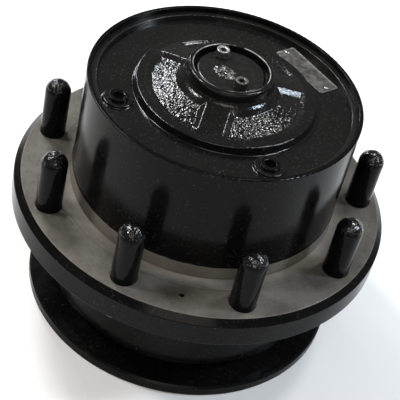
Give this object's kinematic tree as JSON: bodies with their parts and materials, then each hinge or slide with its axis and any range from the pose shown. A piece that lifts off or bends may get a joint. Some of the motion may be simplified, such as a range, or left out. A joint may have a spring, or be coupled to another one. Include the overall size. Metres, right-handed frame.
{
  "type": "hydraulic wheel motor",
  "caption": "Hydraulic planetary wheel-drive motor: rotating hub with studded wheel flange, round cover and a fixed mounting spindle with the motor inside.",
  "frame": {"origin": "centre of the spindle's mounting face, on the axis of rotation", "axes": "+Z along the axis of rotation, from the mounting face towards the cover; +X across"},
  "size_m": [0.388, 0.388, 0.2963],
  "materials": {
    "black_paint": "gloss black enamel",
    "black_vinyl": "glossy dipped vinyl",
    "zinc_steel": "plated",
    "black_oxide_steel": "black oxide",
    "ground_steel": "ground",
    "cast_iron": "as machined",
    "bronze": "bearing bronze",
    "copper_washer": "soft copper",
    "seal_rubber": "nitrile",
    "plate_aluminium": "satin"
  },
  "bodies": {
    "spindle": {"spindle": "black_paint", "lower_bearing_cone": "ground_steel", "upper_bearing_cone": "ground_steel", "nut_lock_ring": "zinc_steel", "bearing_nut": "ground_steel", "fixed_carrier": "cast_iron", "carrier_screws": "black_oxide_steel", "second_stage_pins": "ground_steel", "motor_housing": "cast_iron", "port_cover": "cast_iron", "port_cover_bolts": "black_oxide_steel", "front_plate": "cast_iron", "shaft_bushes": "bronze", "shaft_seal": "seal_rubber", "steel_plates": "ground_steel", "brake_springs": "black_oxide_steel", "spring_retainer": "ground_steel", "retainer_clip": "zinc_steel"},
    "hub": {"hub_housing": "black_paint", "ring_gear": "black_paint", "lower_bearing_cup": "ground_steel", "upper_bearing_cup": "ground_steel", "hub_seal": "seal_rubber", "wheel_studs": "zinc_steel", "stud_caps": "black_vinyl", "cover": "black_paint", "cover_o_ring": "seal_rubber", "cover_snap_ring": "black_oxide_steel", "fill_plug": "black_oxide_steel", "level_plug": "black_oxide_steel", "plug_washers": "copper_washer", "nameplate": "plate_aluminium", "nameplate_pins": "ground_steel", "disconnect_cap": "black_oxide_steel", "cap_screws": "black_oxide_steel"},
    "plunger": {"disconnect_plunger": "ground_steel", "plunger_o_ring": "seal_rubber"},
    "lower_roller_set": {"lower_bearing_rollers": "ground_steel", "lower_bearing_cage": "ground_steel"},
    "upper_roller_set": {"upper_bearing_rollers": "ground_steel", "upper_bearing_cage": "ground_steel"},
    "second_planet_1": {"second_planet_1": "ground_steel", "second_planet_bush_1": "bronze"},
    "second_planet_2": {"second_planet_2": "ground_steel", "second_planet_bush_2": "bronze"},
    "second_planet_3": {"second_planet_3": "ground_steel", "second_planet_bush_3": "bronze"},
    "first_carrier": {"first_carrier": "cast_iron", "first_stage_pins": "ground_steel", "second_sun": "ground_steel"},
    "first_planet_1": {"first_planet_1": "ground_steel"},
    "first_planet_2": {"first_planet_2": "ground_steel"},
    "first_planet_3": {"first_planet_3": "ground_steel"},
    "motor_shaft": {"motor_shaft": "ground_steel", "inner_rotor": "ground_steel", "friction_discs": "bronze", "shift_spring": "black_oxide_steel"},
    "sun_shaft": {"sun_shaft": "ground_steel"},
    "outer_rotor": {"outer_rotor": "ground_steel"},
    "brake_piston": {"brake_piston": "cast_iron"}
  },
  "joints": [
    {"name": "hub_spin", "type": "hinge", "parent": "spindle", "child": "hub", "pos_m": [0, 0, 0], "axis": [0, 0, 1], "continuous": true},
    {"name": "plunger_slide", "type": "slide", "parent": "hub", "child": "plunger", "axis": [0, 0, -1], "range_m": [0, 0.012], "stiffness_N_per_m": 3000, "springref_m": -0.012},
    {"name": "lower_rollers_spin", "type": "hinge", "parent": "spindle", "child": "lower_roller_set", "pos_m": [0, 0, 0], "axis": [0, 0, 1], "continuous": true},
    {"name": "upper_rollers_spin", "type": "hinge", "parent": "spindle", "child": "upper_roller_set", "pos_m": [0, 0, 0], "axis": [0, 0, 1], "continuous": true},
    {"name": "second_planet_1_spin", "type": "hinge", "parent": "spindle", "child": "second_planet_1", "pos_m": [0.078, 0, 0], "axis": [0, 0, 1], "continuous": true},
    {"name": "second_planet_2_spin", "type": "hinge", "parent": "spindle", "child": "second_planet_2", "pos_m": [-0.039, 0.06755, 0], "axis": [0, 0, 1], "continuous": true},
    {"name": "second_planet_3_spin", "type": "hinge", "parent": "spindle", "child": "second_planet_3", "pos_m": [-0.039, -0.06755, 0], "axis": [0, 0, 1], "continuous": true},
    {"name": "first_carrier_spin", "type": "hinge", "parent": "spindle", "child": "first_carrier", "pos_m": [0, 0, 0], "axis": [0, 0, 1], "continuous": true},
    {"name": "first_planet_1_spin", "type": "hinge", "parent": "first_carrier", "child": "first_planet_1", "pos_m": [0.072, 0, 0], "axis": [0, 0, 1], "continuous": true},
    {"name": "first_planet_2_spin", "type": "hinge", "parent": "first_carrier", "child": "first_planet_2", "pos_m": [-0.036, 0.06235, 0], "axis": [0, 0, 1], "continuous": true},
    {"name": "first_planet_3_spin", "type": "hinge", "parent": "first_carrier", "child": "first_planet_3", "pos_m": [-0.036, -0.06235, 0], "axis": [0, 0, 1], "continuous": true},
    {"name": "motor_shaft_spin", "type": "hinge", "parent": "spindle", "child": "motor_shaft", "pos_m": [0, 0, 0], "axis": [0, 0, 1], "continuous": true},
    {"name": "sun_shaft_slide", "type": "slide", "parent": "motor_shaft", "child": "sun_shaft", "axis": [0, 0, -1], "range_m": [0, 0.012], "deforming": ["shift_spring"]},
    {"name": "outer_rotor_spin", "type": "hinge", "parent": "spindle", "child": "outer_rotor", "pos_m": [-0.004, 0, 0], "axis": [0, 0, 1], "continuous": true},
    {"name": "brake_piston_slide", "type": "slide", "parent": "spindle", "child": "brake_piston", "axis": [0, 0, 1], "range_m": [0, 0.0015], "stiffness_N_per_m": 40000, "springref_m": -0.004, "deforming": ["brake_springs"]}
  ],
  "couplings": [
    {"joint": "lower_rollers_spin", "follows": "hub_spin", "ratio": 0.53773},
    {"joint": "upper_rollers_spin", "follows": "hub_spin", "ratio": 0.53773},
    {"joint": "second_planet_1_spin", "follows": "hub_spin", "ratio": 2.8571},
    {"joint": "second_planet_2_spin", "follows": "hub_spin", "ratio": 2.8571},
    {"joint": "second_planet_3_spin", "follows": "hub_spin", "ratio": 2.8571},
    {"joint": "first_carrier_spin", "follows": "hub_spin", "ratio": -3.3333},
    {"joint": "first_planet_1_spin", "follows": "hub_spin", "ratio": 10.833},
    {"joint": "first_planet_2_spin", "follows": "hub_spin", "ratio": 10.833},
    {"joint": "first_planet_3_spin", "follows": "hub_spin", "ratio": 10.833},
    {"joint": "motor_shaft_spin", "follows": "hub_spin", "ratio": -25},
    {"joint": "sun_shaft_slide", "follows": "plunger_slide", "ratio": 1},
    {"joint": "outer_rotor_spin", "follows": "hub_spin", "ratio": -21.429}
  ]
}
